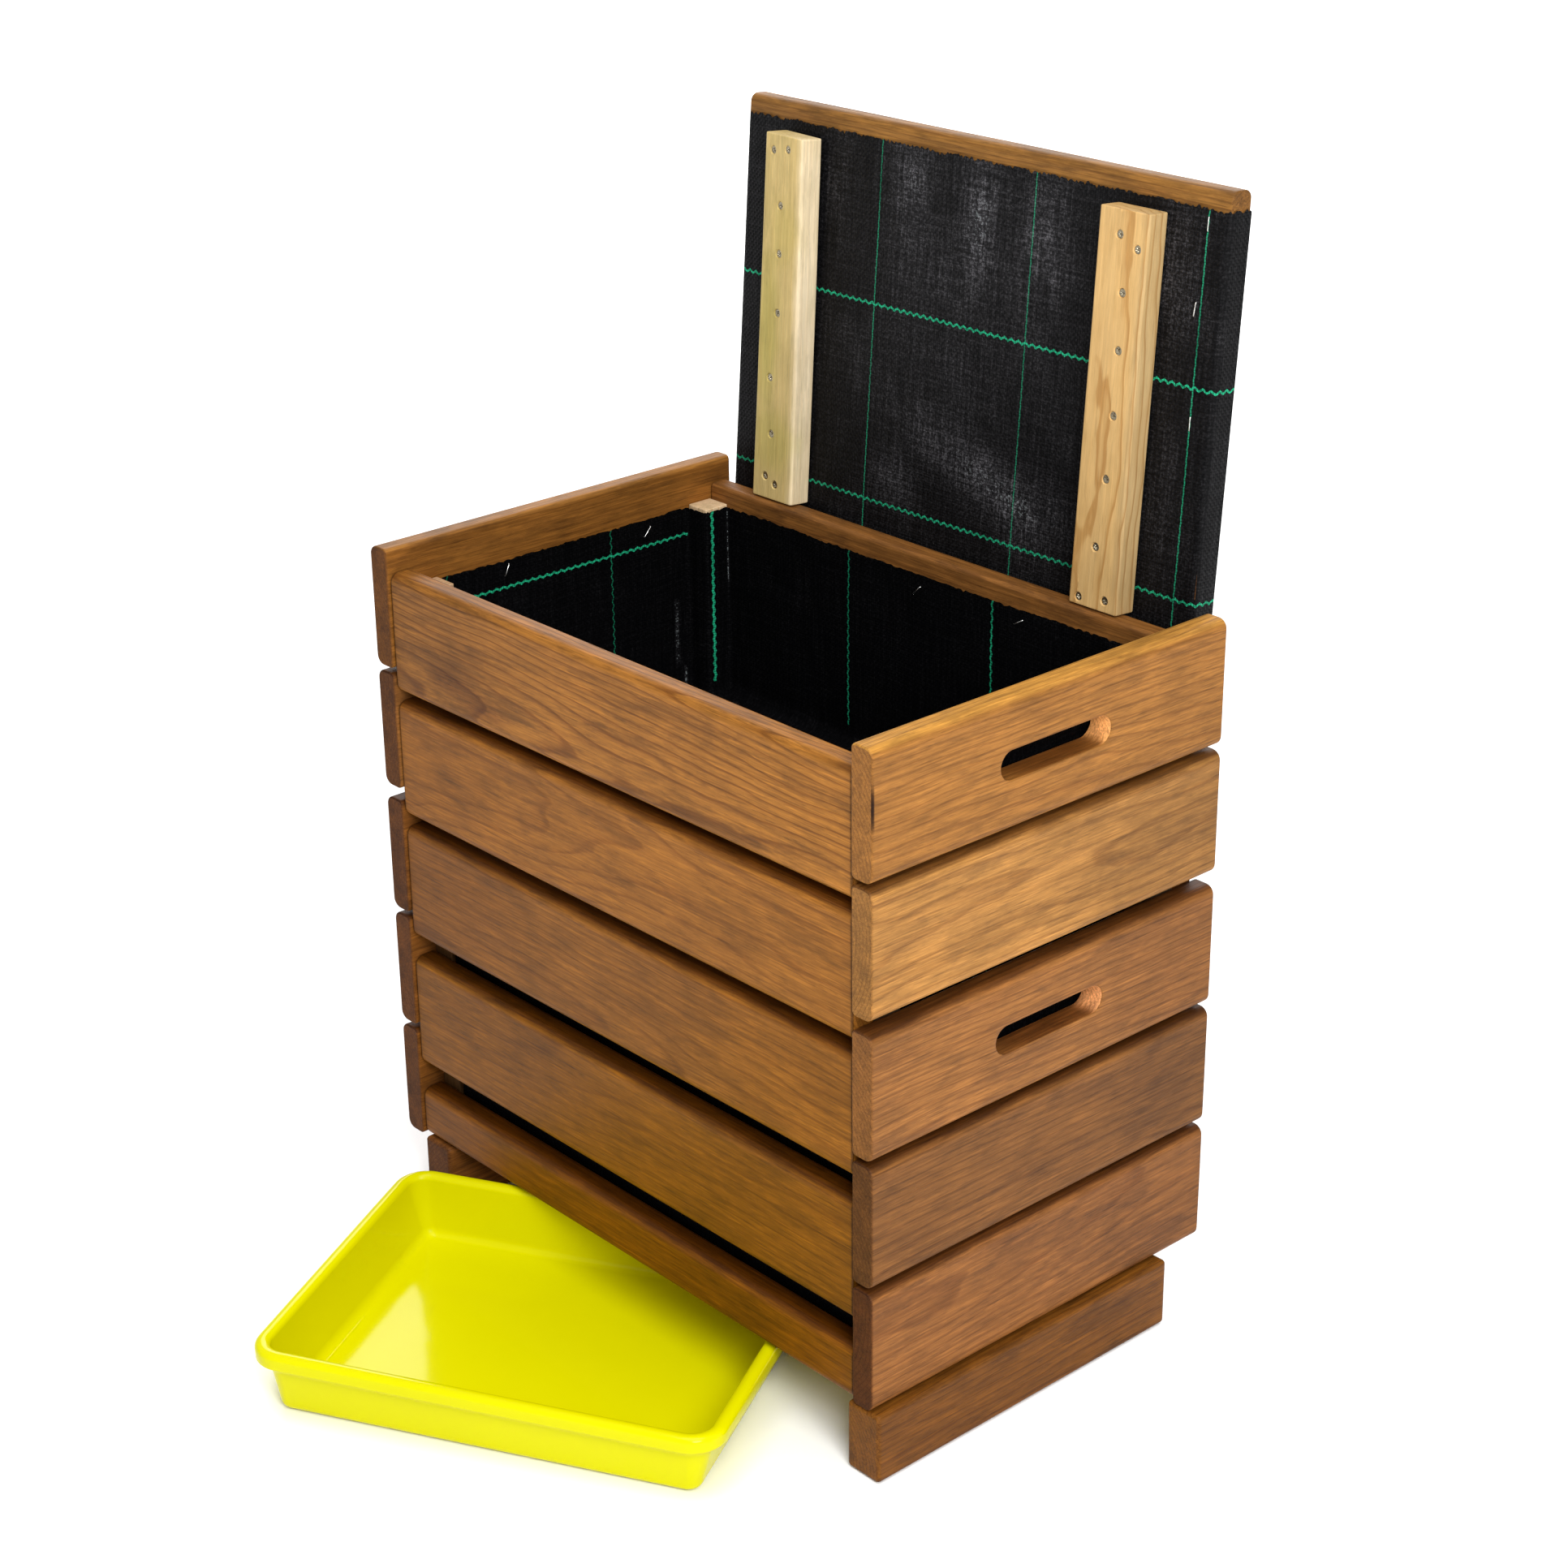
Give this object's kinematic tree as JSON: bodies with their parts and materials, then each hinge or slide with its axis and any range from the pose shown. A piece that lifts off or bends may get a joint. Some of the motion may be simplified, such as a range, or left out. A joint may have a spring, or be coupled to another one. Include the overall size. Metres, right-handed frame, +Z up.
{
  "type": "wormery",
  "caption": "Timber wormery: slatted lower body on two runners, lift-off upper tray, fabric liners, propped lid with battens, and a plastic drip tray underneath.",
  "frame": {"origin": "middle of the whole object's footprint, on the ground, lid propped open and drip tray pulled out as in the picture", "axes": "+X along the front to the right, +Y to the back, +Z up"},
  "size_m": [0.5516, 0.6512, 0.8398],
  "materials": {
    "stained_timber": "planed softwood, honey-brown stain",
    "dark_timber": "planed softwood, darker brown stain",
    "bare_timber": "planed softwood, unstained",
    "ground_cover": "woven black ground cover with green marker threads",
    "lime_plastic": "moulded, gloss"
  },
  "bodies": {
    "lower_body": {"runner_left": "dark_timber", "runner_right": "dark_timber", "lower_left_board_1": "stained_timber", "lower_left_board_2": "stained_timber", "lower_left_board_3": "stained_timber", "lower_right_board_1": "stained_timber", "lower_right_board_2": "stained_timber", "lower_right_board_3": "stained_timber", "lower_front_board_1": "stained_timber", "lower_front_board_2": "stained_timber", "lower_front_board_3": "stained_timber", "lower_back_board_1": "stained_timber", "lower_back_board_2": "stained_timber", "lower_back_board_3": "stained_timber", "lower_post_front_left": "bare_timber", "lower_post_front_right": "bare_timber", "lower_post_back_left": "bare_timber", "lower_post_back_right": "bare_timber", "lower_cleat_front": "bare_timber", "lower_cleat_back": "bare_timber", "lower_slat_1": "bare_timber", "lower_slat_2": "bare_timber", "lower_slat_3": "bare_timber", "lower_slat_4": "bare_timber", "lower_slat_5": "bare_timber", "lower_liner": "ground_cover"},
    "upper_tray": {"upper_left_board_1": "stained_timber", "upper_left_board_2": "stained_timber", "upper_right_board_1": "stained_timber", "upper_right_board_2": "stained_timber", "upper_front_board_1": "stained_timber", "upper_front_board_2": "stained_timber", "upper_back_board_1": "stained_timber", "upper_back_board_2": "stained_timber", "upper_post_front_left": "bare_timber", "upper_post_front_right": "bare_timber", "upper_post_back_left": "bare_timber", "upper_post_back_right": "bare_timber", "upper_cleat_front": "bare_timber", "upper_cleat_back": "bare_timber", "upper_slat_1": "bare_timber", "upper_slat_2": "bare_timber", "upper_slat_3": "bare_timber", "upper_slat_4": "bare_timber", "upper_slat_5": "bare_timber", "upper_liner": "ground_cover"},
    "lid": {"lid_board_1": "stained_timber", "lid_board_2": "stained_timber", "lid_board_3": "stained_timber", "lid_board_4": "stained_timber", "lid_batten_left": "bare_timber", "lid_batten_right": "bare_timber", "lid_cover": "ground_cover"},
    "drip_tray": {"drip_tray": "lime_plastic"}
  },
  "joints": [
    {"name": "upper_tray_lift", "type": "slide", "parent": "lower_body", "child": "upper_tray", "axis": [0, 0, 1], "range_m": [0, 0.15]},
    {"name": "lid_swing", "type": "hinge", "parent": "upper_tray", "child": "lid", "pos_m": [-0.0095, 0.26757, 0.5216], "axis": [1, 0, 0], "range_deg": [0, 94.4]},
    {"name": "drip_tray_push", "type": "hinge", "parent": "lower_body", "child": "drip_tray", "pos_m": [0.42695, -0.06734, 0.03], "axis": [0, 0, -1], "range_deg": [0, 28.7]}
  ]
}
